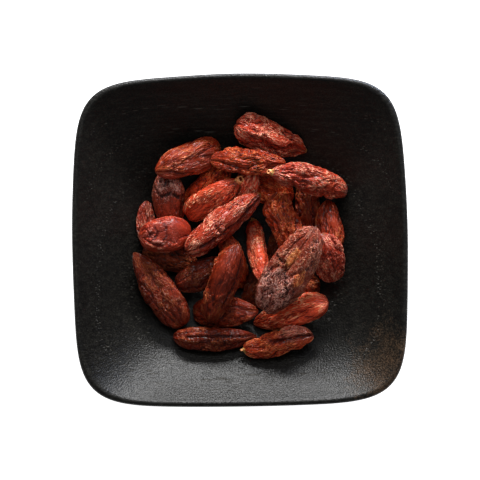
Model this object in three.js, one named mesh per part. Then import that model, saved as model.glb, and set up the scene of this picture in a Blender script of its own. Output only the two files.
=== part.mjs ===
// A small soft-square wooden bowl with a heap of dried goji berries in it.
// Millimetres, +Z up. The origin is the middle of the bowl's flat foot, and X and Y run along its sides.

import * as THREE from "three";
import { mergeVertices } from "three/addons/utils/BufferGeometryUtils.js";

// The bowl: a square with bowed sides and round corners, hollowed to a dish.
const BOWL = {
  width: 70.6, // along X, across two opposite sides at the rim
  depth: 70, // along Y
  height: 20,
  floor: 5.5, // wood under the middle of the hollow
  footWidth: 34,
  footHeight: 0.8, // the upright edge at the foot
  rimRadius: 0.7, // the lip's rounding
  innerSlope: 45, // how steep the wall is at the lip, in degrees
  outerSlope: 56,
  squareness: 6.2, // power of the rim's outline: 2 is a circle
  bow: 0.019, // how far the corners are drawn in, as a share of their distance from the middle
  bowTilt: 0.011, // how much more that is at the +Y corners, and less at the -Y ones
  color: 0x1d1a17,
};
const BOWL_SEGMENTS = 64;
const CORNER_CROWDING = 0.4; // how much closer the segments stand at the corners than on the sides
const WALL_STEPS = 8;
const LIP_STEPS = 5;
const HOLLOW_STEPS = 9;

// A berry's mesh, and the clearance that lies between two berries where they touch.
const BERRY_SIDES = 18;
const BERRY_RINGS = 14;
const GAP = 0.3;

// How berries settle: each is let down where it lies in the heap, and may shift, lean and roll a little,
// to lie lower.
const CELL = 0.25; // the height map's grid
const SHIFT_COST = 2; // mm of height that a shift of 1 mm is worth
const TURN_COST = 100; // mm of height that a turn of 1 radian in plan is worth
const LEAN_LIMIT = THREE.MathUtils.degToRad(42);
const ROLL_LIMIT = THREE.MathUtils.degToRad(22);
const FIRST_LEANS = [-24, 0, 24].map(THREE.MathUtils.degToRad);
const FIRST_STEPS = { shift: 0.8, angle: THREE.MathUtils.degToRad(8) };
const LAST_SHARE = 1 / 32; // the search stops when its steps are this share of the first ones

const HEAP_TURN = THREE.MathUtils.degToRad(-0.84); // from the heap's own axes to the bowl's sides

const TONES = {
  red: 0x8a2f1f,
  bright: 0xa63a22,
  rose: 0x93443a,
  dark: 0x4e1f17,
  plum: 0x5a3431,
};

// The berries from the lowest up. "at" is the middle and "turn" the heading from stem to tip, in degrees.
// "stem" and "tip" say how sharp each end is: 0.35 is blunt, 0.5 round, 0.7 drawn out to a point.
// "bend" bows the berry to its left, "sway" gives it an S, "groove" is the angle of a deep furrow round
// its girth (0 is on top, 90 on its left), "stub" the length of the stem scar, and "flat" its height
// over its width.
// Each of its "dents" is a place from -1 at the stem to 1 at the tip, an angle round the girth, a depth as a
// share of the girth, and a spread. A dent of less than nothing is a bulge.
const HEAP = [
  { at: [-6.2, 1.6], turn: 36, long: 16, wide: 6.2, tone: "dark" },
  { at: [8.8, -1.4], turn: 66, long: 13, wide: 5.6, tone: "dark" },
  { at: [-1.2, -4.6], turn: 110, long: 13, wide: 5.8, tone: "red" },
  { at: [14.4, 7.4], turn: -85, long: 13.5, wide: 4.8, tone: "red" },
  { at: [5.7, 11.2], turn: -35, long: 12.4, wide: 6.6, sway: 0.4, groove: 20, tone: "red" },
  { at: [0.6, 10.8], turn: 60, long: 10.5, wide: 5.0, tone: "rose" },
  { at: [-7.2, 11.4], turn: 42, long: 12.5, wide: 6.0, tone: "red" },
  { at: [-14.9, -3.9], turn: -15, long: 12, wide: 5.8, tone: "dark" },
  { at: [-8.2, -7.0], turn: 205, long: 12.0, wide: 6.1, stem: 0.5, tip: 0.38, tone: "red" },
  { at: [3.6, -10.4], turn: 62, long: 12, wide: 5.2, tone: "dark" },
  { at: [11.8, -9.5], turn: -8, long: 11.4, wide: 5.6, tone: "red" },
  { at: [-3.2, -15.2], turn: 180, long: 14.4, wide: 6.4, stem: 0.55, tip: 0.4, tone: "red" },
  { at: [-20.0, 3.5], turn: 90, long: 10, wide: 3.4, stem: 0.5, tip: 0.6, tone: "rose" },
  {
    at: [-15.5, 8.7], turn: 93, long: 12.2, wide: 7.8, tone: "plum",
    stem: 0.42, tip: 0.42, groove: -60,
    dents: [[0.35, -10, 0.22, 0.22], [0.1, 20, -0.1, 0.35]],
  },
  {
    at: [19.3, 2.5], turn: -84, long: 12.2, wide: 6.3, tone: "red",
    stem: 0.55, tip: 0.45,
    dents: [[-0.1, 35, 0.2, 0.4], [0.2, -40, -0.12, 0.4]],
  },
  {
    at: [-11.0, 17.2], turn: 23, long: 15.6, wide: 6.7, tone: "red",
    stem: 0.5, tip: 0.36,
    dents: [[0.8, 30, 0.16, 0.25], [0.1, 60, 0.1, 0.4], [-0.4, -30, -0.08, 0.3]],
  },
  {
    at: [6.6, 21.8], turn: 160, long: 16.4, wide: 7.2, tone: "rose",
    stem: 0.6, tip: 0.33, stub: 0.4, groove: -48,
    dents: [[0.4, -90, 0.14, 0.2], [0.85, -90, -0.16, 0.3], [-0.2, 30, 0.12, 0.3]],
  },
  {
    at: [-17.5, -10.6], turn: -56, long: 18.8, wide: 7.7, tone: "red",
    stem: 0.62, tip: 0.38,
    dents: [[0.1, -60, -0.06, 0.4], [-0.5, 20, 0.08, 0.3]],
  },
  {
    at: [-5.4, -20.6], turn: 180, long: 17.8, wide: 5.8, tone: "red",
    stem: 0.6, tip: 0.45, bend: 0.5, groove: 50,
    dents: [[0.25, 95, -0.22, 0.28], [-0.3, 95, 0.3, 0.25], [0.75, 95, 0.15, 0.2]],
  },
  {
    at: [10.5, -15.3], turn: 198, long: 17.8, wide: 7.0, tone: "bright",
    stem: 0.38, tip: 0.6,
    dents: [[-0.6, -30, 0.12, 0.3], [-0.5, 60, -0.08, 0.3], [0.1, 10, 0.1, 0.35]],
  },
  {
    at: [8.3, -21.6], turn: 12, long: 15, wide: 5.0, tone: "red",
    stem: 0.4, tip: 0.5, sway: 0.5, stub: 0.5,
    dents: [[0.55, -90, -0.3, 0.26], [0.15, -95, 0.22, 0.2], [0.35, -15, 0.26, 0.3], [-0.2, -5, 0.16, 0.3]],
  },
  {
    at: [18.6, -3.5], turn: -75, long: 11.2, wide: 6.8, tone: "rose",
    stem: 0.4, tip: 0.4,
    dents: [[0.3, -30, 0.16, 0.28], [-0.1, -75, 0.12, 0.3], [-0.2, 30, -0.08, 0.4]],
  },
  {
    at: [1.8, 16.6], turn: -3, long: 16, wide: 5.4, tone: "red",
    stem: 0.42, tip: 0.5, groove: -25,
    dents: [[-0.75, -90, 0.28, 0.25], [-0.35, 85, -0.14, 0.3], [0.3, 40, 0.18, 0.3]],
  },
  {
    at: [-15.8, 1.2], turn: 4, long: 11.2, wide: 8.0, tone: "rose",
    stem: 0.4, tip: 0.38,
    dents: [[-0.45, 10, 0.14, 0.2], [-0.75, -40, -0.12, 0.3], [0.2, 60, 0.08, 0.3]],
  },
  {
    at: [9.4, 3.9], turn: 97, long: 13, wide: 6.8, tone: "red",
    stem: 0.42, tip: 0.42, sway: 0.8, stub: 0.7,
    dents: [[0.35, -20, 0.24, 0.28], [-0.1, 30, 0.2, 0.26], [0.0, -80, -0.14, 0.3], [-0.55, 80, 0.2, 0.3]],
  },
  {
    at: [3.7, -2.4], turn: -82, long: 16, wide: 4.9, tone: "bright",
    stem: 0.45, tip: 0.5, stub: 0.5,
    dents: [[0.1, 60, 0.12, 0.3], [0.5, -10, -0.1, 0.3]],
  },
  {
    at: [14.8, 12.5], turn: -15, long: 18.4, wide: 6.3, tone: "rose",
    stem: 0.48, tip: 0.42, bend: 0.6, stub: 0.5,
    dents: [[-0.3, 15, 0.16, 0.3], [0.3, -25, 0.18, 0.35], [0.1, 75, -0.08, 0.3], [-0.55, -90, -0.16, 0.3]],
  },
  {
    at: [-6.0, 8.7], turn: 214, long: 13.7, wide: 5.7, tone: "bright",
    stem: 0.52, tip: 0.38, stub: 0.6,
    dents: [[0.3, 20, 0.2, 0.4], [0.6, -60, -0.1, 0.3]],
  },
  {
    at: [-3.6, 3.6], turn: 218, long: 20, wide: 7.2, tone: "rose",
    stem: 0.56, tip: 0.38, groove: 52,
    dents: [[-0.2, 15, 0.1, 0.3], [0.5, -40, -0.08, 0.35]],
  },
  {
    at: [-3.6, -9.3], turn: 250, long: 17.8, wide: 7.9, tone: "red",
    stem: 0.46, tip: 0.56, groove: 62, stub: 0.4,
    dents: [[0.5, 10, 0.2, 0.25], [0.75, 40, -0.14, 0.25], [-0.3, -20, -0.06, 0.4]],
  },
  {
    at: [10.5, -6.2], turn: 238, long: 21.4, wide: 9.0, tone: "plum",
    stem: 0.48, tip: 0.36,
    dents: [[-0.3, 80, -0.14, 0.45], [-0.4, -90, 0.16, 0.35], [-0.2, 10, 0.1, 0.35], [0.15, 45, 0.14, 0.22]],
  },
];
const PLAIN_BERRY = {
  stem: 0.5,
  tip: 0.45,
  bend: 0,
  sway: 0,
  flat: 0.74,
  stub: 0.2,
  groove: null,
  dents: [],
};
const DIMPLES = { count: 7, depth: 0.15, spread: [0.2, 0.4] }; // what drying has pressed in or left proud

// A repeatable random number from 0 to 1.
function randomFrom(seed) {
  let state = seed >>> 0;
  return () => {
    state = (state + 0x6d2b79f5) >>> 0;
    let t = Math.imul(state ^ (state >>> 15), 1 | state);
    t = (t + Math.imul(t ^ (t >>> 7), 61 | t)) ^ t;
    return ((t ^ (t >>> 14)) >>> 0) / 4294967296;
  };
}

// How far the outline of a superellipse of radius 1 lies from its middle at an angle.
function superellipse(angle, power) {
  return (Math.abs(Math.cos(angle)) ** power + Math.abs(Math.sin(angle)) ** power) ** (-1 / power);
}

// The bowl's section, from the axis under the foot, up the outside, over the rim and down to the axis again.
function bowlSection() {
  const inner = THREE.MathUtils.degToRad(BOWL.innerSlope);
  const outer = THREE.MathUtils.degToRad(BOWL.outerSlope);
  const foot = BOWL.footWidth / 2;
  const onLip = (angle) => {
    const middle = new THREE.Vector2(BOWL.width / 2 - BOWL.rimRadius, BOWL.height - BOWL.rimRadius);
    return middle.add(new THREE.Vector2(Math.cos(angle), Math.sin(angle)).multiplyScalar(BOWL.rimRadius));
  };
  const lipStart = outer - Math.PI / 2;
  const lipEnd = inner + Math.PI / 2;
  const outside = onLip(lipStart);
  const inside = onLip(lipEnd);
  const outerRise = outside.y - BOWL.footHeight;
  const outerPower = (Math.tan(outer) * (outside.x - foot)) / outerRise;
  const innerRise = inside.y - BOWL.floor;
  const innerPower = (Math.tan(inner) * inside.x) / innerRise;
  const points = [new THREE.Vector2(0, 0), new THREE.Vector2(foot, 0)];
  for (let i = 0; i <= WALL_STEPS; i++) {
    const out = i / WALL_STEPS;
    const z = BOWL.footHeight + outerRise * out ** outerPower;
    points.push(new THREE.Vector2(foot + (outside.x - foot) * out, z));
  }
  for (let i = 1; i < LIP_STEPS; i++) {
    points.push(onLip(lipStart + ((lipEnd - lipStart) * i) / LIP_STEPS));
  }
  for (let i = 0; i <= HOLLOW_STEPS; i++) {
    const out = 1 - i / HOLLOW_STEPS;
    points.push(new THREE.Vector2(inside.x * out, BOWL.floor + innerRise * out ** innerPower));
  }
  return points;
}

// The section is turned round the axis, and each ring is then pulled out to a soft square, most at the rim.
function bowlGeometry() {
  const geometry = new THREE.LatheGeometry(bowlSection(), BOWL_SEGMENTS).rotateX(Math.PI / 2);
  const position = geometry.getAttribute("position");
  for (let i = 0; i < position.count; i++) {
    const r = Math.hypot(position.getX(i), position.getY(i));
    const even = Math.atan2(position.getY(i), position.getX(i));
    const angle = even + (CORNER_CROWDING / 4) * Math.sin(4 * even);
    const share = (r / (BOWL.width / 2)) ** 1.5;
    const drawnIn = share * (BOWL.bow + BOWL.bowTilt * Math.sin(angle)) * Math.sin(2 * angle) ** 2;
    const reach = r * superellipse(angle, 2 + (BOWL.squareness - 2) * share) * (1 - drawnIn);
    const y = (reach * Math.sin(angle) * BOWL.depth) / BOWL.width;
    position.setXYZ(i, reach * Math.cos(angle), y, position.getZ(i));
  }
  return closed(geometry);
}

// One berry lying along X, with its stem at -X: a spindle with lobes, furrows and a bend of its own.
function berryGeometry(berry, random) {
  const lobes = [2, 3, 4, 5].map((count) => ({
    count,
    depth: (0.06 + 0.06 * random()) / Math.sqrt(count - 1),
    phase: 2 * Math.PI * random(),
    twist: 1.6 * (random() - 0.5),
  }));
  const swell = {
    depth: 0.015 + 0.025 * random(),
    phase: 2 * Math.PI * random(),
    lean: 2 * Math.PI * random(),
  };
  const arch = 0.5 * (random() - 0.3);
  const dents = [...berry.dents];
  for (let i = 0; i < DIMPLES.count; i++) {
    const spread = THREE.MathUtils.lerp(...DIMPLES.spread, random());
    dents.push([1.7 * random() - 0.85, 360 * random(), DIMPLES.depth * (2 * random() - 1), spread]);
  }
  const peakAt = (berry.stem - berry.tip) / (berry.stem + berry.tip);
  const spindle = (a) => Math.max(0, 1 + a) ** berry.stem * Math.max(0, 1 - a) ** berry.tip;
  const peak = spindle(peakAt);
  const geometry = new THREE.SphereGeometry(1, BERRY_SIDES, BERRY_RINGS);
  const position = geometry.getAttribute("position");
  const firstRing = Math.cos(Math.PI / BERRY_RINGS);
  for (let i = 0; i < position.count; i++) {
    const along = -position.getY(i);
    const round = Math.atan2(position.getX(i), position.getZ(i));
    let girth = spindle(along) / peak;
    girth *= 1 + swell.depth * Math.cos(6 * along + swell.phase) * (1 + Math.cos(round - swell.lean));
    for (const lobe of lobes) {
      girth *= 1 + lobe.depth * Math.cos(lobe.count * round + lobe.phase + lobe.twist * along);
    }
    if (berry.groove !== null) {
      const off = round - THREE.MathUtils.degToRad(berry.groove);
      girth *= 1 - 0.3 * Math.exp(7 * (Math.cos(off) - 1));
    }
    for (const [place, side, depth, spread] of dents) {
      const away = ((along - place) / spread) ** 2;
      const off = round - THREE.MathUtils.degToRad(side);
      girth *= 1 - depth * Math.exp((Math.cos(off) - 1) / (0.5 * spread ** 2) - 2 * away);
    }
    const isStub = along < -firstRing + 1e-6;
    const isPole = Math.abs(along) > 1 - 1e-6;
    const half = berry.wide / 2;
    const reach = isPole ? 0 : isStub ? Math.min(0.7, girth * half) : girth * half;
    const bow = berry.bend * (1 - along ** 2 * 1.5) + berry.sway * 2.6 * along * (1 - along ** 2);
    position.setXYZ(
      i,
      (along * berry.long) / 2 - (isStub ? berry.stub : 0),
      bow + reach * Math.sin(round),
      arch * (1 - along ** 2 * 1.5) + berry.flat * reach * Math.cos(round),
    );
  }
  return closed(geometry);
}

// A geometry as one closed mesh that holds its positions alone.
function closed(geometry) {
  geometry.deleteAttribute("normal");
  geometry.deleteAttribute("uv");
  return mergeVertices(geometry, 1e-4);
}

// A height map of everything that lies in the bowl so far, with the clearance that the next berry keeps.
class HeightMap {
  constructor(width) {
    this.half = width / 2;
    this.cells = Math.ceil(width / CELL);
    this.top = new Float32Array(this.cells ** 2).fill(-Infinity);
  }

  heightAt(x, y) {
    const column = Math.floor((x + this.half) / CELL);
    const row = Math.floor((y + this.half) / CELL);
    if (column < 0 || row < 0 || column >= this.cells || row >= this.cells) return BOWL.height;
    return this.top[row * this.cells + column];
  }

  // Raises the map to a mesh, swollen by the clearance.
  add(mesh) {
    mesh.updateMatrixWorld(true);
    const swollen = mesh.geometry.clone().applyMatrix4(mesh.matrixWorld);
    swollen.computeVertexNormals();
    const position = swollen.getAttribute("position");
    const normal = swollen.getAttribute("normal");
    const corner = [new THREE.Vector3(), new THREE.Vector3(), new THREE.Vector3()];
    for (let i = 0; i < swollen.index.count; i += 3) {
      corner.forEach((v, k) => {
        const at = swollen.index.getX(i + k);
        v.fromBufferAttribute(position, at);
        v.addScaledVector(new THREE.Vector3().fromBufferAttribute(normal, at), GAP);
      });
      this.addTriangle(...corner);
    }
  }

  addTriangle(a, b, c) {
    const area = (b.x - a.x) * (c.y - a.y) - (c.x - a.x) * (b.y - a.y);
    if (area <= 1e-9) return;
    const cellOf = (value) => Math.floor((value + this.half) / CELL);
    const low = (key) => Math.max(0, cellOf(Math.min(a[key], b[key], c[key])));
    const high = (key) => Math.min(this.cells - 1, cellOf(Math.max(a[key], b[key], c[key])));
    for (let row = low("y"); row <= high("y"); row++) {
      for (let column = low("x"); column <= high("x"); column++) {
        const x = (column + 0.5) * CELL - this.half;
        const y = (row + 0.5) * CELL - this.half;
        const u = ((x - a.x) * (c.y - a.y) - (c.x - a.x) * (y - a.y)) / area;
        const v = ((b.x - a.x) * (y - a.y) - (x - a.x) * (b.y - a.y)) / area;
        if (u < 0 || v < 0 || u + v > 1) continue;
        const z = a.z + u * (b.z - a.z) + v * (c.z - a.z);
        const cell = row * this.cells + column;
        this.top[cell] = Math.max(this.top[cell], z);
      }
    }
  }
}

// Points spread over a mesh: its corners, and the middle of each face and edge.
function touchPoints(geometry) {
  const position = geometry.getAttribute("position");
  const points = [];
  for (let i = 0; i < position.count; i++) {
    points.push(new THREE.Vector3().fromBufferAttribute(position, i));
  }
  const corners = points.slice();
  for (let i = 0; i < geometry.index.count; i += 3) {
    const [a, b, c] = [0, 1, 2].map((k) => corners[geometry.index.getX(i + k)]);
    points.push(a.clone().add(b).add(c).divideScalar(3));
    points.push(a.clone().add(b).divideScalar(2));
  }
  return points;
}

// Lets a berry down onto the heap: a search, step by step, for the lean, roll and small shift that put it
// lowest.
function settle(berry, geometry, heap) {
  const points = touchPoints(geometry);
  const heading = THREE.MathUtils.degToRad(berry.turn) + HEAP_TURN;
  const middle = new THREE.Vector2(...berry.at).rotateAround(new THREE.Vector2(), HEAP_TURN);
  const turned = new THREE.Matrix4();
  const restingHeight = ([dx, dy, turn, lean, roll]) => {
    const e = turned.makeRotationFromEuler(new THREE.Euler(roll, lean, heading + turn, "ZYX")).elements;
    let lift = -Infinity;
    for (const p of points) {
      const x = middle.x + dx + e[0] * p.x + e[4] * p.y + e[8] * p.z;
      const y = middle.y + dy + e[1] * p.x + e[5] * p.y + e[9] * p.z;
      const z = e[2] * p.x + e[6] * p.y + e[10] * p.z;
      lift = Math.max(lift, heap.heightAt(x, y) - z);
    }
    return lift;
  };
  const allowed = ([, , , lean, roll]) => Math.abs(lean) <= LEAN_LIMIT && Math.abs(roll) <= ROLL_LIMIT;
  const costOf = (pose) =>
    restingHeight(pose) + SHIFT_COST * (pose[0] ** 2 + pose[1] ** 2) + TURN_COST * pose[2] ** 2;
  const { shift, angle } = FIRST_STEPS;
  let best = { cost: Infinity };
  for (const firstLean of FIRST_LEANS) {
    let pose = [0, 0, 0, firstLean, 0];
    let cost = costOf(pose);
    let share = 1;
    while (share > LAST_SHARE) {
      const before = cost;
      [shift, shift, angle / 2, angle, angle].forEach((step, i) => {
        for (const sign of [1, -1]) {
          const trial = pose.with(i, pose[i] + sign * share * step);
          const trialCost = allowed(trial) ? costOf(trial) : Infinity;
          if (trialCost < cost) [pose, cost] = [trial, trialCost];
        }
      });
      if (cost === before) share /= 2;
    }
    if (cost < best.cost) best = { cost, pose };
  }
  const [dx, dy, turn, lean, roll] = best.pose;
  return {
    position: new THREE.Vector3(middle.x + dx, middle.y + dy, restingHeight(best.pose)),
    rotation: new THREE.Euler(roll, lean, heading + turn, "ZYX"),
  };
}

function bowlMesh() {
  const material = new THREE.MeshStandardMaterial({ color: BOWL.color, roughness: 0.55, metalness: 0 });
  const mesh = new THREE.Mesh(bowlGeometry(), material);
  mesh.name = "bowl";
  return mesh;
}

function berryMesh(row, number, heap) {
  const berry = { ...PLAIN_BERRY, ...row };
  const geometry = berryGeometry(berry, randomFrom(101 + number));
  const color = TONES[berry.tone];
  const material = new THREE.MeshStandardMaterial({ color, roughness: 0.6, metalness: 0 });
  const mesh = new THREE.Mesh(geometry, material);
  const rest = settle(berry, geometry, heap);
  mesh.position.copy(rest.position);
  mesh.rotation.copy(rest.rotation);
  mesh.name = `berry_${String(number).padStart(2, "0")}`;
  return mesh;
}

const bowlOfBerries = new THREE.Group();
const heap = new HeightMap(BOWL.width);
const bowl = bowlMesh();
bowlOfBerries.add(bowl);
heap.add(bowl);
HEAP.forEach((row, i) => {
  const mesh = berryMesh(row, i + 1, heap);
  bowlOfBerries.add(mesh);
  heap.add(mesh);
});

export default bowlOfBerries;
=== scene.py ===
"""A soft-square, black-stained wooden dish with a loose heap of dried goji berries in it.

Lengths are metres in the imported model's frame: Z up, and the origin in the middle of the dish's foot.
"""

import logging
import math
from dataclasses import dataclass
from enum import Enum

import bmesh
import bpy
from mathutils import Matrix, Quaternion, Vector, noise


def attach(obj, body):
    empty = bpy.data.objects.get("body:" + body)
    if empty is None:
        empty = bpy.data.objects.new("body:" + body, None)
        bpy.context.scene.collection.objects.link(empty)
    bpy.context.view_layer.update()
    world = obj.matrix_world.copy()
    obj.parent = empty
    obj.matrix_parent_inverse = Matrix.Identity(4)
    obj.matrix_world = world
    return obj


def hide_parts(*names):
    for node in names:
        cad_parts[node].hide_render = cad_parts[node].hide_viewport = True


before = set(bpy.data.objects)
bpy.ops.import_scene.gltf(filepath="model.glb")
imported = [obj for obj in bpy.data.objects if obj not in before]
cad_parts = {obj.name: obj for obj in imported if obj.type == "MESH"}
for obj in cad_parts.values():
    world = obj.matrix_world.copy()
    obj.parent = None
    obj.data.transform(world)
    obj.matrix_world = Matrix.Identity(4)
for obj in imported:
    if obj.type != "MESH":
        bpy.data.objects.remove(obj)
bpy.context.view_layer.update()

MM = 0.001
TINY = 1e-6
NOISE_SEED = 7
NOISE_GAIN = 2.6  # brings gradient noise, which seldom passes 0.4, to between -1 and 1
log = logging.getLogger("goji")

Colour = tuple[float, float, float, float]
Socket = bpy.types.NodeSocket

# The Mix node's colour sockets go by number, because its float and vector sockets have the same names.
FACTOR, FIRST, SECOND, RESULT = 0, 6, 7, 2
# Its settings to lay one colour over another, and to multiply them.
OVER = {"data_type": "RGBA"}
TIMES = {"data_type": "RGBA", "blend_type": "MULTIPLY"}


def linear(code: int) -> Colour:
    """Turns an sRGB hex colour into the linear colour that a shader socket takes.

    Args:
        code: The colour as 0xRRGGBB.

    Returns:
        Red, green, blue and alpha.
    """
    channels = [((code >> shift) & 255) / 255 for shift in (16, 8, 0)]
    # The sRGB curve: straight near black, and a power of 2.4 above that.
    red, green, blue = (c / 12.92 if c <= 0.04045 else ((c + 0.055) / 1.055) ** 2.4 for c in channels)
    return red, green, blue, 1.0


def grey(level: float) -> Colour:
    """Gives a grey as a ramp's stop takes it."""
    return level, level, level, 1.0


def add_node(
    material: bpy.types.Material,
    kind: str,
    settings: dict[str, object] | None = None,
    inputs: dict[str | int, object] | None = None,
    stops: tuple[tuple[float, Colour], ...] = (),
) -> bpy.types.ShaderNode:
    """Adds a node with its settings, fills its sockets with values or links, and colours its ramp.

    Args:
        material: The material whose tree gets the node.
        kind: The node's type, without "ShaderNode".
        settings: Properties of the node.
        inputs: Values by socket name or number. An output socket there is linked.
        stops: A ramp's positions and colours, in rising order.

    Returns:
        The new node.
    """
    tree = material.node_tree
    node = tree.nodes.new("ShaderNode" + kind)
    for name, value in (settings or {}).items():
        setattr(node, name, value)
    for key, value in (inputs or {}).items():
        if isinstance(value, Socket):
            tree.links.new(value, node.inputs[key])
        else:
            node.inputs[key].default_value = value
    if stops:
        elements = node.color_ramp.elements
        while len(elements) < len(stops):
            elements.new(1.0)
        for element, (position, colour) in zip(elements, stops):
            element.position = position
            element.color = colour
    return node


def new_material(name: str) -> bpy.types.Material:
    """Makes an empty node material.

    Args:
        name: The finish's name.

    Returns:
        The material.
    """
    material = bpy.data.materials.new(name)
    material.use_nodes = True
    material.node_tree.nodes.clear()
    return material


def smoothstep(low: float, high: float, value: float) -> float:
    """Rises smoothly from 0 to 1.

    Args:
        low: Where the rise starts.
        high: Where it ends.
        value: The place asked for.

    Returns:
        A number from 0 to 1.
    """
    share = min(1.0, max(0.0, (value - low) / (high - low)))
    return share * share * (3 - 2 * share)


def link_object(name: str, mesh: bpy.types.Mesh) -> bpy.types.Object:
    """Puts a mesh in the scene as an object at the origin.

    Args:
        name: The piece's name.
        mesh: Its mesh.

    Returns:
        The object.
    """
    piece = bpy.data.objects.new(name, mesh)
    bpy.context.scene.collection.objects.link(piece)
    return piece


# Finishes


@dataclass(frozen=True)
class StainedWood:
    """Black-stained hardwood under a thin satin oil: near black, with grain along X and open pores.

    The growth rings lie nearly flat through the dish, so their pores cross the left and right walls in
    dotted rows, and run as short dashes on the other two. The stain has rubbed thin at one corner.
    """

    stain: int = 0x1A1916
    streak: int = 0x0E0D0C
    worn: int = 0x443426
    dust: int = 0x47443E
    streak_mm: float = 0.8
    streak_stretch: float = 25.0
    ring_mm: float = 5.2
    ring_wander_mm: float = 25.0
    pith: tuple[float, float, float] = (0.0, -18 * MM, -75 * MM)
    pore_mm: float = 0.5
    vessel_stretch: float = 9.0
    grit_mm: float = 0.33
    relief_mm: float = 0.11
    closed_above: float = 18.8 * MM
    worn_corner: tuple[float, float, float] = (36 * MM, -30 * MM, 14 * MM)
    worn_reach_mm: float = 26.0
    worn_patch_mm: float = 5.0
    roughness: float = 0.37
    specular: float = 0.23

    def material(self) -> bpy.types.Material:
        """Builds the material.

        Returns:
            The wood's material, read in object coordinates.
        """
        wood = new_material("black_stained_wood_satin_oil")
        place = add_node(wood, "TexCoord").outputs["Object"]
        pores = self.pores(wood, place)
        # Grain: streaks along X, under a millimetre wide and many times longer.
        along = add_node(
            wood, "Mapping", inputs={"Vector": place, "Scale": (1 / self.streak_stretch, 1.0, 1.0)}
        ).outputs["Vector"]
        streaks = add_node(
            wood,
            "TexNoise",
            inputs={"Vector": along, "Scale": 1 / (self.streak_mm * MM), "Detail": 4.0, "Roughness": 0.65},
        ).outputs["Fac"]
        # Grit: the raised fibre that an oiled surface keeps, which catches the light in fine points through
        # the bump.
        grit = add_node(
            wood, "TexNoise", inputs={"Vector": place, "Scale": 1 / (self.grit_mm * MM), "Detail": 2.0}
        ).outputs["Fac"]
        grain = add_node(
            wood,
            "ValToRGB",
            inputs={"Fac": streaks},
            stops=((0.38, linear(self.streak)), (0.62, linear(self.stain))),
        ).outputs["Color"]
        worn = add_node(
            wood,
            "Mix",
            OVER,
            {FACTOR: self.worn_mask(wood, place, grit), FIRST: grain, SECOND: linear(self.worn)},
        ).outputs[RESULT]
        # The grit also darkens the stain at some fine points and lightens it up to twice at others: random
        # tone, and painted glints.
        specks_and_painted_glints = add_node(
            wood, "ValToRGB", inputs={"Fac": grit}, stops=((0.38, grey(0.45)), (0.68, grey(2.0)))
        ).outputs["Color"]
        with_specks_and_painted_glints = add_node(wood, "Mix", TIMES, {FACTOR: 1.0, FIRST: worn, SECOND: specks_and_painted_glints}).outputs[RESULT]
        colour = add_node(
            wood, "Mix", OVER, {FACTOR: pores, FIRST: with_specks_and_painted_glints, SECOND: linear(self.dust)}
        ).outputs[RESULT]
        # Height: the fibre stands up, the streaks a little, and the pores are sunk.
        closed = add_node(wood, "Math", {"operation": "MULTIPLY_ADD"}, {0: pores, 1: -1.0, 2: 1.0})
        fibre = add_node(wood, "Math", {"operation": "ADD"}, {0: grit, 1: closed.outputs["Value"]})
        height = add_node(
            wood, "Math", {"operation": "MULTIPLY_ADD"}, {0: streaks, 1: 0.3, 2: fibre.outputs["Value"]}
        )
        bump = add_node(
            wood,
            "Bump",
            inputs={"Strength": 1.0, "Distance": self.relief_mm * MM, "Height": height.outputs["Value"]},
        )
        shader = add_node(
            wood,
            "BsdfPrincipled",
            inputs={
                "Base Color": colour,
                "Roughness": self.roughness,
                "Specular IOR Level": self.specular,
                "Normal": bump.outputs["Normal"],
            },
        )
        add_node(wood, "OutputMaterial", inputs={"Surface": shader.outputs["BSDF"]})
        return wood

    def pores(self, wood: bpy.types.Material, place: Socket) -> Socket:
        """Scatters the open vessels, most of them at the start of each growth ring.

        Args:
            wood: The wood's material.
            place: The object coordinates.

        Returns:
            A socket that is 1 in a pore.
        """
        centred = add_node(wood, "VectorMath", {"operation": "SUBTRACT"}, {0: place, 1: self.pith})
        flat = add_node(
            wood, "Mapping", inputs={"Vector": centred.outputs["Vector"], "Scale": (0.0, 1.0, 1.0)}
        )
        distance = add_node(wood, "VectorMath", {"operation": "LENGTH"}, {0: flat.outputs["Vector"]})
        wander = add_node(
            wood,
            "TexNoise",
            inputs={"Vector": place, "Scale": 1 / (self.ring_wander_mm * MM), "Detail": 1.0},
        )
        turns = add_node(
            wood,
            "Math",
            {"operation": "MULTIPLY_ADD"},
            {0: distance.outputs["Value"], 1: 1 / (self.ring_mm * MM), 2: wander.outputs["Fac"]},
        )
        ring = add_node(wood, "Math", {"operation": "FRACT"}, {0: turns.outputs["Value"]})
        crowd = add_node(
            wood,
            "ValToRGB",
            inputs={"Fac": ring.outputs["Value"]},
            stops=((0.0, grey(1.0)), (0.22, grey(0.25)), (0.9, grey(0.1))),
        )
        vessel = add_node(
            wood, "Mapping", inputs={"Vector": place, "Scale": (1 / self.vessel_stretch, 1.0, 1.0)}
        )
        cells = add_node(
            wood,
            "TexVoronoi",
            inputs={"Vector": vessel.outputs["Vector"], "Scale": 1 / (self.pore_mm * MM)},
        )
        near = add_node(
            wood,
            "ValToRGB",
            inputs={"Fac": cells.outputs["Distance"]},
            stops=((0.16, grey(1.0)), (0.34, grey(0.0))),
        )
        # The lip is rubbed smooth, and its pores are closed.
        height = add_node(wood, "SeparateXYZ", inputs={0: place}).outputs["Z"]
        below = add_node(
            wood,
            "MapRange",
            inputs={"Value": height, "From Min": self.closed_above, "From Max": self.closed_above - MM},
        )
        sown = add_node(
            wood, "Math", {"operation": "MULTIPLY"}, {0: near.outputs["Color"], 1: crowd.outputs["Color"]}
        )
        return add_node(
            wood, "Math", {"operation": "MULTIPLY"}, {0: sown.outputs["Value"], 1: below.outputs["Result"]}
        ).outputs["Value"]

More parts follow.
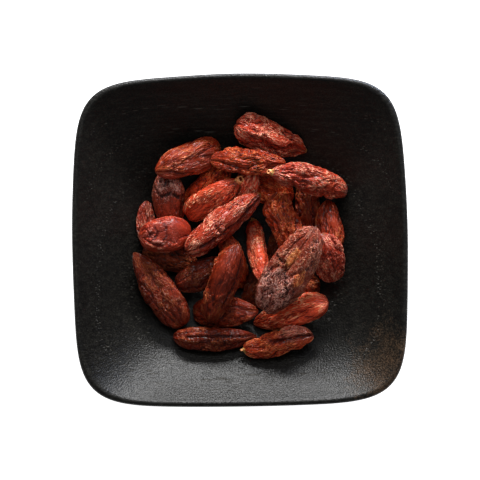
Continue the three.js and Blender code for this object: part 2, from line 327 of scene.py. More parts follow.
    def worn_mask(self, wood: bpy.types.Material, place: Socket, grit: Socket) -> Socket:
        """Shades the corner where the stain is thin.

        Args:
            wood: The wood's material.
            place: The object coordinates.
            grit: The fine fibre, which keeps the stain in its hollows.

        Returns:
            A socket that rises to about 1 in the worn corner.
        """
        away = add_node(wood, "VectorMath", {"operation": "DISTANCE"}, {0: place, 1: self.worn_corner})
        patch = add_node(
            wood,
            "TexNoise",
            inputs={
                "Vector": place,
                "Scale": 1 / (self.worn_patch_mm * MM),
                "Detail": 5.0,
                "Roughness": 0.7,
            },
        )
        reach = add_node(
            wood,
            "Math",
            {"operation": "MULTIPLY_ADD"},
            {0: away.outputs["Value"], 1: 1 / (self.worn_reach_mm * MM), 2: patch.outputs["Fac"]},
        )
        soft = add_node(
            wood, "Math", {"operation": "MULTIPLY_ADD"}, {0: grit, 1: -0.5, 2: reach.outputs["Value"]}
        )
        return add_node(
            wood,
            "ValToRGB",
            inputs={"Fac": soft.outputs["Value"]},
            stops=((0.35, grey(0.85)), (0.8, grey(0.0))),
        ).outputs["Color"]


@dataclass(frozen=True)
class BerrySkin:
    """Skin of a dried berry: thin, tacky and half see-through, drawn into wrinkles over dark sweet flesh.

    Its colour follows the wrinkles: paler on their crests as painted highlight, and nearly brown in its deep
    folds as painted shade.
    """

    name: str
    # The crease colour is painted shade in the folds, and the ridge colour is painted highlight on the
    # crests.
    crease: int
    flesh: int
    ridge: int
    scar: int = 0xE0AC62
    film_and_painted_sheen: int = 0xEAA696
    seed: int = 0xD8602C
    pip: int = 0xF49C60
    mottle_mm: float = 2.2
    fine_mm: float = 0.55
    fine_height_mm: float = 0.28
    roughness: float = 0.33
    specular: float = 0.34

    def material(self) -> bpy.types.Material:
        """Builds the material.

        Returns:
            The skin's material. It reads the relief, the marks and the skin's coordinates from the mesh.
        """
        skin = new_material(self.name)
        relief, crinkle = (
            add_node(skin, "Attribute", {"attribute_name": name}).outputs["Fac"]
            for name in ("relief", "crinkle")
        )
        marks, place = (
            add_node(skin, "Attribute", {"attribute_name": name}).outputs["Vector"]
            for name in ("marks", "skin")
        )
        scar, film_and_painted_sheen, seed = add_node(skin, "SeparateXYZ", inputs={0: marks}).outputs
        # Wrinkles under a millimetre apart, which are too fine for the mesh.
        wave = add_node(
            skin,
            "TexNoise",
            inputs={
                "Vector": place,
                "Scale": 1 / self.fine_mm,
                "Detail": 1.0,
                "Roughness": 0.5,
                "Distortion": 0.8,
            },
        )
        aside = add_node(skin, "Math", {"operation": "SUBTRACT"}, {0: wave.outputs["Fac"], 1: 0.5})
        middle = add_node(skin, "Math", {"operation": "ABSOLUTE"}, {0: aside.outputs["Value"]})
        fine = add_node(
            skin,
            "ValToRGB",
            inputs={"Fac": middle.outputs["Value"]},
            stops=((0.0, grey(1.0)), (0.11, grey(0.0))),
        )
        raised = add_node(
            skin, "Math", {"operation": "MULTIPLY"}, {0: fine.outputs["Color"], 1: crinkle}
        ).outputs["Value"]
        # The fine wrinkles' crests also raise the level that picks the colour, which paints highlight on
        # them.
        low = add_node(skin, "Math", {"operation": "ADD"}, {0: relief, 1: -0.24})
        level = add_node(
            skin, "Math", {"operation": "MULTIPLY_ADD"}, {0: raised, 1: 0.7, 2: low.outputs["Value"]}
        ).outputs["Value"]
        # The skin, a seed under it, and the film and painted sheen on it, each darkened in the folds as
        # painted shade; the skin's crests also get painted highlight.
        crease, flesh = linear(self.crease), linear(self.flesh)
        skin_with_painted_light, pip, film_and_painted_sheen_colour = (
            add_node(skin, "ValToRGB", inputs={"Fac": level}, stops=stops).outputs["Color"]
            for stops in (
                ((0.16, crease), (0.42, flesh), (0.66, flesh), (0.92, linear(self.ridge))),
                ((0.2, flesh), (0.36, linear(self.seed)), (0.7, linear(self.pip))),
                ((0.2, crease), (0.4, flesh), (0.78, linear(self.film_and_painted_sheen))),
            )
        )
        mottle = add_node(
            skin,
            "TexNoise",
            inputs={"Vector": place, "Scale": 1 / self.mottle_mm, "Detail": 4.0, "Roughness": 0.6},
        )
        patch = add_node(
            skin,
            "ValToRGB",
            inputs={"Fac": mottle.outputs["Fac"]},
            stops=((0.32, (0.72, 0.58, 0.54, 1.0)), (0.68, (1.22, 1.22, 1.12, 1.0))),
        ).outputs["Color"]
        shade = add_node(skin, "Attribute", {"attribute_name": "shade"}).outputs["Color"]
        colour = skin_with_painted_light
        for how, factor, layer in (
            (TIMES, 1.0, patch),
            (TIMES, 1.0, shade),
            (OVER, film_and_painted_sheen, film_and_painted_sheen_colour),
            (OVER, seed, pip),
            (OVER, scar, linear(self.scar)),
        ):
            mixed = add_node(skin, "Mix", how, {FACTOR: factor, FIRST: colour, SECOND: layer})
            colour = mixed.outputs[RESULT]
        bump = add_node(
            skin, "Bump", inputs={"Strength": 1.0, "Distance": self.fine_height_mm * MM, "Height": raised}
        )
        shader = add_node(
            skin,
            "BsdfPrincipled",
            inputs={
                "Base Color": colour,
                "Roughness": self.roughness,
                "Specular IOR Level": self.specular,
                "Normal": bump.outputs["Normal"],
                "Subsurface Weight": 0.12,
                "Subsurface Radius": (1.0, 0.25, 0.12),
                "Subsurface Scale": 0.35 * MM,
            },
        )
        add_node(skin, "OutputMaterial", inputs={"Surface": shader.outputs["BSDF"]})
        return skin


class Tone(Enum):
    """The berries' skins, from bright to nearly brown."""

    BRIGHT = BerrySkin("goji_skin_bright", 0x6A1208, 0xBE4428, 0xF09C78)
    RED = BerrySkin("goji_skin_red", 0x4A0E05, 0x9A3013, 0xCC6C42)
    ROSE = BerrySkin("goji_skin_rose", 0x56120B, 0xA63721, 0xDC8E76)
    DARK = BerrySkin("goji_skin_dark", 0x2A0C05, 0x6E2A15, 0x8A4A2C)
    PLUM = BerrySkin("goji_skin_plum", 0x34100B, 0x88331F, 0xC48068)


@dataclass(frozen=True)
class Drying:
    """How a skin has shrunk. Lengths are millimetres, and a stretch is a length over a width."""

    ridge_spacing: float
    ridge_height: float
    stretch: float
    fold_spacing: float
    fold_depth: float
    crinkle: float
    crinkle_stretch: float


class Wrinkling(Enum):
    """The ways in which these berries have dried."""

    FURROWED = Drying(1.0, 0.42, 3.2, 3.2, 0.9, 1.0, 2.6)
    FINE = Drying(0.8, 0.28, 3.8, 3.2, 0.6, 1.0, 3.0)
    RIBBED = Drying(0.72, 0.3, 7.0, 3.4, 0.4, 0.9, 4.5)
    CRINKLED = Drying(0.8, 0.26, 1.4, 3.2, 0.5, 1.1, 1.4)
    GRAINY = Drying(0.9, 0.14, 1.8, 3.4, 0.4, 0.9, 1.4)
    SMOOTH = Drying(1.3, 0.14, 1.8, 3.6, 0.5, 0.5, 1.2)


class Finish(Enum):
    """What a mark is: a stalk's scar, a pale sugary film (on some berries a painted sheen instead), a seed
    showing through, or skin drawn taut.
    """

    SCAR = 0
    FILM = 1
    SEED = 2
    TAUT = 3


CALMING = (Finish.SCAR, Finish.TAUT)


@dataclass(frozen=True)
class DryStalk:
    """Dry stalk: pale straw, matt, with darker fibres."""

    name: str = "goji_stalk_dry_straw"
    fibre: int = 0xD07840
    straw: int = 0xFFB478
    fibre_mm: float = 0.4
    roughness: float = 0.6

    def material(self) -> bpy.types.Material:
        """Builds the material.

        Returns:
            The straw's material, read in object coordinates.
        """
        stalk = new_material(self.name)
        place = add_node(stalk, "TexCoord").outputs["Object"]
        grain = add_node(
            stalk, "TexNoise", inputs={"Vector": place, "Scale": 1 / (self.fibre_mm * MM), "Detail": 3.0}
        )
        colour = add_node(
            stalk,
            "ValToRGB",
            inputs={"Fac": grain.outputs["Fac"]},
            stops=((0.35, linear(self.fibre)), (0.6, linear(self.straw))),
        )
        shader = add_node(
            stalk,
            "BsdfPrincipled",
            inputs={"Base Color": colour.outputs["Color"], "Roughness": self.roughness},
        )
        add_node(stalk, "OutputMaterial", inputs={"Surface": shader.outputs["BSDF"]})
        return stalk


STALK = DryStalk()


@dataclass(frozen=True)
class Mark:
    """A patch on a berry. It lies from -1 at the stem to 1 at the tip, at an angle from the top."""

    finish: Finish
    along: float
    angle: float
    length_mm: float
    width_mm: float
    strength: float = 1.0
    rise_mm: float = 0.0


@dataclass(frozen=True)
class Crease:
    """A sharp fold through places on a berry, each from -1 to 1 along it and at an angle from its top."""

    path: tuple[tuple[float, float], ...]
    depth_mm: float = 0.4
    width_mm: float = 0.35


# Sub-assemblies

# How a berry's mesh is joined to quads.
POLE_EDGES = 12
ANY_ANGLE = 2.5

# How the wrinkles run, in millimetres: they bend widely and waver finely.
BEND_SPACING, BEND = 3.0, 1.3
WAVER_SPACING, WAVER = 1.2, 0.5
# Ridges carry most of the relief, and finer threads run among them. The wide folds are less long.
RIDGE_SHARE, THREAD_SHARE, THREAD_FINENESS = 0.62, 0.38, 1.9
FOLD_STRETCH, FOLD_MIDDLE = 2.2, 0.62
END_SHARE = 0.55  # of the girth, over which the wrinkles fade at a berry's ends
CALMED = 0.9  # how much of the wrinkles a taut patch or a scar takes away
CREASE_PAINTED_SHADE = 1.4  # painted shade: how much a crease a millimetre deep lowers the relief that the colour follows
# A mark's edge is soft and wanders.
EDGE_IN, EDGE_OUT, EDGE_WANDER, EDGE_WAVES = 0.75, 1.05, 0.35, 0.9


@dataclass
class Dish:
    """The soft-square dish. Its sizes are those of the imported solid."""

    width: float = 70.6 * MM
    depth: float = 70 * MM
    height: float = 20 * MM
    floor: float = 5.5 * MM
    foot_width: float = 34 * MM
    foot_height: float = 0.8 * MM
    rim_radius: float = 0.7 * MM
    inner_slope: float = math.radians(45)
    outer_slope: float = math.radians(56)
    squareness: float = 6.2
    bow: float = 0.019
    bow_tilt: float = 0.011
    corner_crowding: float = 0.1
    turns: int = 176
    wall_steps: int = 20
    lip_steps: int = 12
    hollow_steps: int = 40
    wood: StainedWood = StainedWood()

    def section(self) -> list[tuple[float, float]]:
        """Draws half of the dish's section.

        Returns:
            Radius and height, from the axis under the foot, round the lip, to the axis in the hollow.
        """
        foot = self.foot_width / 2
        lip_start = self.outer_slope - math.pi / 2
        lip_end = self.inner_slope + math.pi / 2
        outside = self.on_lip(lip_start)
        inside = self.on_lip(lip_end)
        outer_rise = outside[1] - self.foot_height
        outer_power = math.tan(self.outer_slope) * (outside[0] - foot) / outer_rise
        inner_rise = inside[1] - self.floor
        inner_power = math.tan(self.inner_slope) * inside[0] / inner_rise
        points = [(0.0, 0.0), (foot * 0.5, 0.0), (foot, 0.0)]
        for step in range(self.wall_steps + 1):
            out = step / self.wall_steps
            across = foot + (outside[0] - foot) * out
            points.append((across, self.foot_height + outer_rise * out**outer_power))
        for step in range(1, self.lip_steps):
            points.append(self.on_lip(lip_start + (lip_end - lip_start) * step / self.lip_steps))
        for step in range(self.hollow_steps + 1):
            out = 1 - step / self.hollow_steps
            points.append((inside[0] * out, self.floor + inner_rise * out**inner_power))
        return points

    def on_lip(self, angle: float) -> tuple[float, float]:
        """Gives the radius and height of a point on the lip's rounding.

        Args:
            angle: The way that the point faces: 0 is outwards, and a quarter turn is up.

        Returns:
            The point.
        """
        across = self.width / 2 - self.rim_radius + self.rim_radius * math.cos(angle)
        return across, self.height - self.rim_radius + self.rim_radius * math.sin(angle)

    def squared(self, place: Vector) -> Vector:
        """Pulls a point of the turned dish out to the soft square, most at the rim.

        Args:
            place: The point on the round dish.

        Returns:
            The point on the soft-square dish.
        """
        radius = math.hypot(place.x, place.y)
        even = math.atan2(place.y, place.x)
        angle = even + self.corner_crowding * math.sin(4 * even)
        share = (radius / (self.width / 2)) ** 1.5
        power = 2 + (self.squareness - 2) * share
        reach = (abs(math.cos(angle)) ** power + abs(math.sin(angle)) ** power) ** (-1 / power)
        drawn_in = share * (self.bow + self.bow_tilt * math.sin(angle)) * math.sin(2 * angle) ** 2
        reach *= radius * (1 - drawn_in)
        return Vector((reach * math.cos(angle), reach * math.sin(angle) * self.depth / self.width, place.z))

    def build(self) -> bpy.types.Object:
        """Spins the section, squares it, and gives it the wood.

        Returns:
            The dish.
        """
        shape = bmesh.new()
        verts = [shape.verts.new((radius, 0.0, height)) for radius, height in self.section()]
        edges = [shape.edges.new(pair) for pair in zip(verts, verts[1:])]
        bmesh.ops.spin(
            shape,
            geom=verts + edges,
            cent=(0, 0, 0),
            axis=(0, 0, 1),
            angle=math.tau,
            steps=self.turns,
            use_merge=True,
        )
        bmesh.ops.remove_doubles(shape, verts=shape.verts[:], dist=TINY)
        for vert in shape.verts:
            vert.co = self.squared(vert.co)
        bmesh.ops.recalc_face_normals(shape, faces=shape.faces[:])
        for face in shape.faces:
            face.smooth = True
        mesh = bpy.data.meshes.new("dish")
        shape.to_mesh(mesh)
        shape.free()
        piece = link_object("dish", mesh)
        mesh.materials.append(self.wood.material())
        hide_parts("bowl")
        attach(piece, "root")
        log.info("dish: %d faces", len(mesh.polygons))
        return piece


@dataclass
class Berry:
    """One dried berry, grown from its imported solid: smoothed, then wrinkled from stem to tip.

    Its heading is the way from its stem to its tip, in degrees from X. Its shade is how light it is.
    """

    number: int
    heading: float
    tone: Tone
    wrinkling: Wrinkling
    shade: float = 1.0
    marks: tuple[Mark, ...] = ()
    creases: tuple[Crease, ...] = ()
    levels: int = 3

    @property
    def node(self) -> str:
        """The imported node's name."""
        return f"berry_{self.number:02d}"

    def merged_solid(self) -> bmesh.types.BMesh:
        """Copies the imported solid, merges its loose triangles and joins them to quads.

        Returns:
            The solid as one closed mesh.
        """
        shape = bmesh.new()
        shape.from_mesh(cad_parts[self.node].data)
        bmesh.ops.remove_doubles(shape, verts=shape.verts[:], dist=TINY)
        # The fans round the two poles stay triangles.
        sides = [
            face for face in shape.faces if all(len(vert.link_edges) < POLE_EDGES for vert in face.verts)
        ]
        bmesh.ops.join_triangles(
            shape, faces=sides, angle_face_threshold=ANY_ANGLE, angle_shape_threshold=ANY_ANGLE
        )
        return shape

    def middle_line(self, shape: bmesh.types.BMesh) -> list[Vector]:
        """Finds the line through the middle of the solid's rings of corners, from the stem to the tip.

        Args:
            shape: The merged solid.

        Returns:
            The middle of each ring. The first and the last are the poles.
        """
        poles = sorted(shape.verts, key=lambda vert: len(vert.link_edges))[-2:]
        heading = Vector((math.cos(math.radians(self.heading)), math.sin(math.radians(self.heading)), 0.0))
        poles.sort(key=lambda vert: vert.co.dot(heading))
        ring, seen, line = [poles[0]], {poles[0]}, []
        while ring:
            line.append(sum((vert.co for vert in ring), Vector()) / len(ring))
            following = []
            for vert in ring:
                for edge in vert.link_edges:
                    other = edge.other_vert(vert)
                    if other not in seen:
                        seen.add(other)
                        following.append(other)
            ring = following
        return line

    def smoothed(self, shape: bmesh.types.BMesh) -> bpy.types.Mesh:
        """Rounds the solid by subdivision.

        Args:
            shape: The merged solid, which is used up.

        Returns:
            The smooth mesh.
        """
        for face in shape.faces:
            face.smooth = True
        mesh = bpy.data.meshes.new(self.node)
        shape.to_mesh(mesh)
        shape.free()
        coarse = link_object("coarse", mesh)
        smoother = coarse.modifiers.new("smooth", "SUBSURF")
        smoother.levels = smoother.render_levels = self.levels
        fine = bpy.data.meshes.new_from_object(coarse.evaluated_get(bpy.context.evaluated_depsgraph_get()))
        bpy.data.objects.remove(coarse)
        bpy.data.meshes.remove(mesh)
        fine.name = self.node + "_dried"
        return fine

    def build(self) -> bpy.types.Object:
        """Makes the berry's fine mesh.

        Returns:
            The berry.
        """
        shape = self.merged_solid()
        line = self.middle_line(shape)
        fine = self.smoothed(shape)
        self.wrinkle(fine, line)
        piece = link_object(self.node + "_dried", fine)
        fine.materials.clear()
        fine.materials.append(bpy.data.materials.get(self.tone.value.name) or self.tone.value.material())
        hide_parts(self.node)
        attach(piece, "root")
        log.info("%s: %d faces, %s, %s", self.node, len(fine.polygons), self.tone.name, self.wrinkling.name)
        return piece

    def wrinkle(self, mesh: bpy.types.Mesh, line: list[Vector]) -> None:
        """Raises the wrinkles, and writes their relief, the marks and the skin's coordinates to the mesh.

        Args:
            mesh: The smooth berry.
            line: The berry's middle line, from the stem to the tip.
        """
        axis = (line[-1] - line[0]).normalized()
        left = Vector((0, 0, 1)).cross(axis).normalized()
        up = axis.cross(left)
        stations = [axis.dot(point - line[0]) / MM for point in line]
        length = stations[-1]
        places = []
        for vert in mesh.vertices:
            along = min(length, max(0.0, axis.dot(vert.co - line[0]) / MM))
            last = len(stations) - 2
            station = next((i for i in range(last + 1) if along <= stations[i + 1]), last)
            share = (along - stations[station]) / max(TINY, stations[station + 1] - stations[station])
            radial = vert.co - line[station].lerp(line[station + 1], share)
            places.append((along, math.atan2(radial.dot(left), radial.dot(up)), radial.length / MM))
        girth = max(radius for along, angle, radius in places)
        drying = self.wrinkling.value
        moved, relief, crinkle, marks, skin = [], [], [], [], []
        for vert, (along, angle, radius) in zip(mesh.vertices, places):
            spot = Vector((along, girth * math.cos(angle), girth * math.sin(angle)))
            patches = self.patches(along, angle, radius, length, spot)
            calm = math.prod(
                1 - CALMED * share for mark, share in zip(self.marks, patches) if mark.finish in CALMING
            )
            vigour = self.vigour_at(spot)
            rise, level = self.relief_at(spot, smoothstep(0.0, END_SHARE * girth, radius), calm, vigour)
            rise += sum(mark.rise_mm * share for mark, share in zip(self.marks, patches))
            cut = sum(self.cut_at(crease, along, angle, radius, length) for crease in self.creases)
            moved += list(vert.co + vert.normal * ((rise - cut) * MM))
            # The relief picks the skin's colour: a crease's depth lowers it, which paints shade into the
            # crease.
            relief.append(max(0.0, level - CREASE_PAINTED_SHADE * cut))
            cover = [0.0, 0.0, 0.0, 0.0]
            for mark, share in zip(self.marks, patches):
                cover[mark.finish.value] = max(cover[mark.finish.value], share * mark.strength)
            crinkle.append(drying.crinkle * (0.35 + 0.65 * calm) * vigour)
            marks += cover[:3]
            skin += list(Vector((spot.x / drying.crinkle_stretch, spot.y, spot.z)) + self.seed)
        mesh.vertices.foreach_set("co", moved)
        mesh.attributes.new("relief", "FLOAT", "POINT").data.foreach_set("value", relief)
        mesh.attributes.new("crinkle", "FLOAT", "POINT").data.foreach_set("value", crinkle)
        mesh.attributes.new("shade", "FLOAT", "POINT").data.foreach_set("value", [self.shade] * len(places))
        mesh.attributes.new("marks", "FLOAT_VECTOR", "POINT").data.foreach_set("vector", marks)
        mesh.attributes.new("skin", "FLOAT_VECTOR", "POINT").data.foreach_set("vector", skin)
        mesh.update()

    @property
    def seed(self) -> Vector:
        """Sets the noise of each berry apart."""
        return Vector((13.7, 5.1, 9.3)) * self.number

    def vigour_at(self, spot: Vector) -> float:
        """Tells how strongly the skin has wrinkled around a point, from 0.5 where it is tight to 1.2."""
        return 0.85 + 0.35 * max(-1.0, min(1.0, NOISE_GAIN * noise.noise(spot / 3.2 - self.seed)))

    def relief_at(self, spot: Vector, taper: float, calm: float, vigour: float) -> tuple[float, float]:
        """Works out the wrinkles at one point.

        Args:
            spot: The point on a cylinder as wide as the berry, in millimetres.
            taper: How much of the relief the berry's ends let through.
            calm: How much of it the marks let through.
            vigour: How strongly the skin has wrinkled here.

        Returns:
            The rise in millimetres, and the relief from 0 in a fold to 1 on a crest, which the colour
            follows as painted shade in folds and painted highlight on crests.
        """
        drying = self.wrinkling.value
        drift = noise.noise_vector(spot / BEND_SPACING + self.seed) * BEND
        drift += noise.noise_vector(spot / WAVER_SPACING - self.seed) * WAVER
        lengthwise = Vector(((spot.x + drift.x) / drying.stretch, spot.y + drift.y, spot.z + drift.z))
        ridge = min(1.0, NOISE_GAIN * abs(noise.noise(lengthwise / drying.ridge_spacing + self.seed)))
        thread_place = lengthwise / drying.ridge_spacing * THREAD_FINENESS - self.seed
        thread = 1 - min(1.0, NOISE_GAIN * abs(noise.noise(thread_place)))
        fold_place = Vector((lengthwise.x * drying.stretch / FOLD_STRETCH, lengthwise.y, lengthwise.z))
        fold = min(1.0, NOISE_GAIN * abs(noise.noise(fold_place / drying.fold_spacing - 2 * self.seed)))
        ridges = (RIDGE_SHARE * math.sqrt(ridge) + THREAD_SHARE * thread - 0.5) * vigour * calm
        valley = math.sqrt(fold) - FOLD_MIDDLE
        rise = taper * (drying.ridge_height * ridges + drying.fold_depth * valley * (0.4 + 0.6 * calm))
        return rise, 0.5 + 0.7 * ridges + 0.35 * valley * taper * (0.25 + 0.75 * calm)

    def patches(
        self, along: float, angle: float, radius: float, length: float, spot: Vector
    ) -> list[float]:
        """Works out how far each mark covers a point.

        Args:
            along: The point's distance from the stem, in millimetres.
            angle: Its angle from the top.
            radius: Its distance from the middle line, in millimetres.
            length: The berry's length.
            spot: The point on a cylinder as wide as the berry.

        Returns:
            A share from 0 to 1 for each mark.
        """
        shares = []
        for mark in self.marks:
            ahead = (along - (mark.along + 1) * length / 2) / mark.length_mm
            aside = self.turn_between(angle, math.radians(mark.angle)) * max(0.4, radius) / mark.width_mm
            edge = EDGE_WANDER * noise.noise(spot * EDGE_WAVES + self.seed)
            shares.append(1 - smoothstep(EDGE_IN, EDGE_OUT, math.hypot(ahead, aside) + edge))
        return shares

    @staticmethod
    def turn_between(angle: float, other: float) -> float:
        """Gives the signed angle from one direction to another."""
        return math.remainder(angle - other, math.tau)

    def cut_at(self, crease: Crease, along: float, angle: float, radius: float, length: float) -> float:
        """Works out how deep a crease cuts at a point.

        Args:
            crease: The crease.
            along: The point's distance from the stem, in millimetres.
            angle: Its angle from the top.
            radius: Its distance from the middle line, in millimetres.
            length: The berry's length.

        Returns:
            The depth in millimetres.
        """
        nearest = math.inf
        for (u0, a0), (u1, a1) in zip(crease.path, crease.path[1:]):
            start, end = (
                Vector(((u + 1) * length / 2 - along, self.turn_between(math.radians(turn), angle) * radius))
                for u, turn in ((u0, a0), (u1, a1))
            )
            span = end - start
            share = max(0.0, min(1.0, -start.dot(span) / max(TINY, span.length_squared)))
            nearest = min(nearest, (start + span * share).length)
        return crease.depth_mm * math.exp(-((nearest / crease.width_mm) ** 2))


def stem_scar(size_mm: float = 0.8, strength: float = 1.0) -> Mark:
    """Gives the pale scar that the stalk leaves at the very end of a berry."""
    return Mark(Finish.SCAR, -1.0, 0.0, size_mm, 3.0, strength)


HEAP: list[Berry] = [
    Berry(1, 36, Tone.DARK, Wrinkling.FINE, levels=2),
    Berry(2, 66, Tone.DARK, Wrinkling.FINE),
    Berry(3, 110, Tone.RED, Wrinkling.FINE, 1.3, levels=2),
    Berry(4, -85, Tone.RED, Wrinkling.RIBBED, 0.7),
    Berry(5, -35, Tone.RED, Wrinkling.FURROWED, 2.2),
    Berry(6, 60, Tone.ROSE, Wrinkling.FINE, 2.0),
    Berry(7, 42, Tone.RED, Wrinkling.GRAINY, 2.2),
    Berry(8, -15, Tone.DARK, Wrinkling.GRAINY, 1.8),
    Berry(9, 205, Tone.RED, Wrinkling.GRAINY, 0.5),
    Berry(10, 62, Tone.DARK, Wrinkling.FINE, 0.75),
    Berry(11, -8, Tone.RED, Wrinkling.FINE, 0.65),
    Berry(12, 180, Tone.RED, Wrinkling.GRAINY, 0.95),
    Berry(13, 90, Tone.ROSE, Wrinkling.FINE, 0.75),
    Berry(
        14, 93, Tone.PLUM, Wrinkling.CRINKLED, 1.35,
        marks=(Mark(Finish.FILM, 0.5, -5, 3.0, 4.0, 1.0, 0.15), Mark(Finish.TAUT, -0.35, 10, 5.0, 6.0)),
        creases=(Crease(((0.5, 60), (0.22, 25), (0.3, -15), (0.12, -50)), 0.35, 0.3),),
    ),
    Berry(15, -84, Tone.RED, Wrinkling.RIBBED, 0.95),
    Berry(16, 23, Tone.RED, Wrinkling.RIBBED, 1.05),
    Berry(17, 160, Tone.ROSE, Wrinkling.FURROWED, 1.35, marks=(stem_scar(0.5, 0.4),)),
    Berry(18, -56, Tone.RED, Wrinkling.GRAINY, 0.7),
    Berry(
        19, 180, Tone.RED, Wrinkling.GRAINY, 0.62,
        creases=(Crease(((-0.75, -10), (0.0, -20), (0.7, -5)), 0.35, 0.35),),
    ),
    Berry(20, 198, Tone.BRIGHT, Wrinkling.RIBBED, 1.7),
    Berry(
        21, 12, Tone.RED, Wrinkling.FINE, 1.5,
        marks=(stem_scar(0.6), Mark(Finish.FILM, 0.55, 45, 4.0, 2.2, 0.5)),
        creases=(Crease(((-0.15, 30), (0.2, 0), (0.95, -8)), 0.55, 0.4),),
    ),
    Berry(22, -75, Tone.ROSE, Wrinkling.CRINKLED, 1.25),
    Berry(23, -3, Tone.RED, Wrinkling.FURROWED, 1.3),
    Berry(
        24, 4, Tone.ROSE, Wrinkling.SMOOTH, 1.2,
        marks=(
            # Painted sheen: a pink highlight painted over the swirl.
            Mark(Finish.FILM, -0.15, 8, 3.2, 3.2, 0.75),
            Mark(Finish.TAUT, 0.02, 8, 3.0, 2.6, 0.9),
            Mark(Finish.TAUT, 0.6, 0, 2.4, 3.5),
        ),
        creases=(
            Crease(((-0.5, 40), (-0.36, 12), (-0.45, -20), (-0.6, -30)), 0.13, 0.22),
            Crease(((-0.3, 62), (-0.05, 30), (-0.02, -5), (-0.2, -40), (-0.4, -58)), 0.1, 0.3),
            Crease(((-0.8, 40), (-0.66, 8), (-0.7, -22)), 0.15, 0.2),
        ),
    ),
    Berry(25, 97, Tone.RED, Wrinkling.FURROWED, 1.4, marks=(stem_scar(1.4),)),
    Berry(
        26, -82, Tone.BRIGHT, Wrinkling.GRAINY, 1.35,
        marks=(
            stem_scar(1.3, 0.6),
            Mark(Finish.TAUT, -0.85, 0, 2.2, 4.0, 1.0, 0.35),
            # Painted highlight: a faint pale streak towards the stem end.
            Mark(Finish.FILM, -0.3, -20, 3.0, 1.0, 0.35),
        ),
    ),
    Berry(
        27, -15, Tone.ROSE, Wrinkling.FURROWED, 1.25,
        marks=(stem_scar(0.7), Mark(Finish.FILM, 0.95, 0, 1.2, 3.0, 0.6)),
    ),
    Berry(
        28, 214, Tone.BRIGHT, Wrinkling.RIBBED, 1.25,
        marks=(stem_scar(0.8), Mark(Finish.TAUT, 0.62, 25, 3.2, 2.4)),
    ),
    Berry(
        29, 218, Tone.ROSE, Wrinkling.FINE, 1.15,
        marks=(stem_scar(0.6, 0.6),),
        creases=(Crease(((-0.85, 42), (-0.2, 52), (0.35, 46), (0.7, 30)), 0.55, 0.4),),
    ),
    Berry(
        30, 250, Tone.RED, Wrinkling.FINE, 0.75,
        # Painted sheen: a pinkish highlight painted over the smooth, taut part near the stem.
        marks=(Mark(Finish.TAUT, -0.3, 0, 6.0, 4.5, 0.9), Mark(Finish.FILM, -0.45, 10, 3.4, 2.6, 0.45)),
        creases=(Crease(((-0.7, 62), (0.0, 55), (0.5, 40)), 0.4, 0.35),),
    ),
    Berry(
        31, 238, Tone.PLUM, Wrinkling.CRINKLED, 1.25,
        marks=(
            Mark(Finish.FILM, 0.46, -12, 5.4, 5.4, 0.9, 0.12),
            Mark(Finish.SEED, -0.28, -22, 2.6, 0.95, 1.0, 0.2),
            Mark(Finish.SEED, 0.02, 42, 2.3, 1.0, 1.0, 0.2),
        ),
        creases=(Crease(((-0.12, -75), (-0.1, -30), (0.12, -5), (0.3, 25), (0.7, 55)), 0.35, 0.3),),
    ),
]


# Berries that kept their stalk's collar, and its width in millimetres.
STALK_ENDS = {21: 0.5, 25: 1.3, 26: 0.8, 27: 0.95, 28: 1.5}


@dataclass
class StalkEnd:
    """The dry, hollow collar that stays where a berry's stalk came off.

    Lengths are in millimetres, the lift is in degrees, and the foot and the mouth are shares of the width.
    """

    berry: Berry
    width: float = 1.3
    length: float = 0.75
    wall: float = 0.22
    foot: float = 0.62
    mouth: float = 0.46
    lift: float = 38.0

    def build(self) -> bpy.types.Object:
        """Makes the collar and sets it on the berry's stem end.

        Returns:
            The collar.
        """
        line = self.berry.middle_line(self.berry.merged_solid())
        outwards = (line[0] - line[2]).normalized()
        side = outwards.cross(Vector((0, 0, 1))).normalized()
        aim = Quaternion(side, math.radians(self.lift)) @ outwards
        turn = aim.to_track_quat("Z", "Y")
        shape = bmesh.new()
        bmesh.ops.create_cone(
            shape,
            cap_ends=False,
            segments=20,
            radius1=self.foot * self.width,
            radius2=self.mouth * self.width,
            depth=self.length,
        )
        bmesh.ops.solidify(shape, geom=shape.faces[:], thickness=self.wall)
        bmesh.ops.subdivide_edges(shape, edges=shape.edges[:], cuts=1, use_grid_fill=True)
        for vert in shape.verts:
            ragged = noise.noise(vert.co * 1.6 + self.berry.seed)
            place = vert.co * (1 + 0.18 * ragged) + Vector((0, 0, 0.12 * ragged + 0.25 * self.length))
            vert.co = line[0] + turn @ (place * MM)
        bmesh.ops.recalc_face_normals(shape, faces=shape.faces[:])
        for face in shape.faces:
            face.smooth = True
        mesh = bpy.data.meshes.new(self.berry.node + "_stalk_end")
        shape.to_mesh(mesh)
        shape.free()
        mesh.materials.append(bpy.data.materials.get(STALK.name) or STALK.material())
        piece = link_object(self.berry.node + "_stalk_end", mesh)
        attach(piece, "root")
        log.info("%s: %d faces", piece.name, len(mesh.polygons))
        return piece


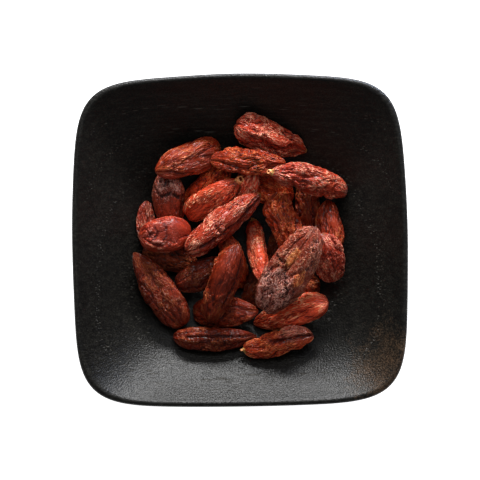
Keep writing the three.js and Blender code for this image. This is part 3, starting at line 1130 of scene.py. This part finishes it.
@dataclass
class Studio:
    """A pale floor, soft light from the top of the photograph, and a camera straight above."""

    camera_height: float = 500 * MM
    frame_pixels: int = 480
    film_mm: float = 36
    pixels_per_mm: float = 4.77
    roll: float = -0.84

    def floor(self) -> None:
        """Lays the white floor."""
        shape = bmesh.new()
        bmesh.ops.create_grid(shape, x_segments=1, y_segments=1, size=3.0)
        mesh = bpy.data.meshes.new("floor")
        shape.to_mesh(mesh)
        shape.free()
        piece = link_object("floor", mesh)
        white = new_material("white_paper_floor")
        shader = add_node(
            white,
            "BsdfPrincipled",
            inputs={
                "Base Color": (0.9, 0.9, 0.9, 1.0),
                "Roughness": 0.9,
                "Emission Color": (1.0, 1.0, 1.0, 1.0),
                "Emission Strength": 1.0,
            },
        )
        add_node(white, "OutputMaterial", inputs={"Surface": shader.outputs["BSDF"]})
        mesh.materials.append(white)

    def light(
        self,
        name: str,
        place: tuple[float, float, float],
        size: float,
        power: float,
        colour: int = 0xFFFFFF,
        height: float | None = None,
    ) -> None:
        """Hangs a soft light aimed at the heap.

        Args:
            name: The light's name.
            place: Where it hangs.
            size: Its width.
            power: Its power in watts.
            colour: Its sRGB colour.
            height: Its height, where it isn't square.
        """
        data = bpy.data.lights.new(name, "AREA")
        data.shape = "RECTANGLE"
        data.size = size
        data.size_y = height or size
        data.energy = power
        data.color = linear(colour)[:3]
        lamp = bpy.data.objects.new(name, data)
        lamp.location = place
        aim = Vector((0, 0, 0.015)) - Vector(place)
        lamp.rotation_euler = aim.to_track_quat("-Z", "Y").to_euler()
        bpy.context.scene.collection.objects.link(lamp)

    def camera(self) -> None:
        """Hangs the camera over the middle of the dish."""
        data = bpy.data.cameras.new("camera")
        data.sensor_width = self.film_mm
        rim = Dish().height
        data.lens = self.pixels_per_mm * self.film_mm / self.frame_pixels * (self.camera_height - rim) / MM
        camera = bpy.data.objects.new("camera", data)
        camera.location = (0, 0, self.camera_height)
        camera.rotation_euler = (0, 0, math.radians(self.roll))
        bpy.context.scene.collection.objects.link(camera)
        bpy.context.scene.camera = camera

    def build(self) -> None:
        """Sets up the floor, the lights, the sky and the camera."""
        self.floor()
        # Two soft keys stand low beyond the dish and are mirrored in its near wall.
        self.light("key_left", (-0.09, 0.85, 0.33), 0.14, 6.8)
        self.light("key_right", (0.16, 0.85, 0.33), 0.14, 7.4)
        self.light("fill", (0.0, 0.45, 0.75), 0.5, 1.7)
        self.light("rim", (0.5, 0.75, 0.16), 0.3, 3.0, 0xD4E2FF)
        # This strip lies lower than the dish's rim, so it only brightens the far lip's outside.
        self.light("lip", (0.3, 0.6, 0.011), 0.5, 6.0, 0xD4E2FF, height=0.018)
        sky = bpy.data.worlds.new("sky")
        sky.use_nodes = True
        backdrop = sky.node_tree.nodes["Background"]
        backdrop.inputs["Color"].default_value = (1.0, 1.0, 1.0, 1.0)
        backdrop.inputs["Strength"].default_value = 0.18
        bpy.context.scene.world = sky
        bpy.context.scene.view_settings.view_transform = "Standard"
        self.camera()
        log.info("studio: floor, lights and camera")


def main() -> None:
    """Builds the dish, the heap and the studio."""
    logging.basicConfig(level=logging.INFO, format="%(name)s: %(message)s")
    # The vector noise that bends the wrinkles starts from the clock unless it is given a seed.
    noise.seed_set(NOISE_SEED)
    Studio().build()
    Dish().build()
    for berry in HEAP:
        berry.build()
    for number, width in STALK_ENDS.items():
        StalkEnd(HEAP[number - 1], width).build()


if __name__ == "__main__":
    main()
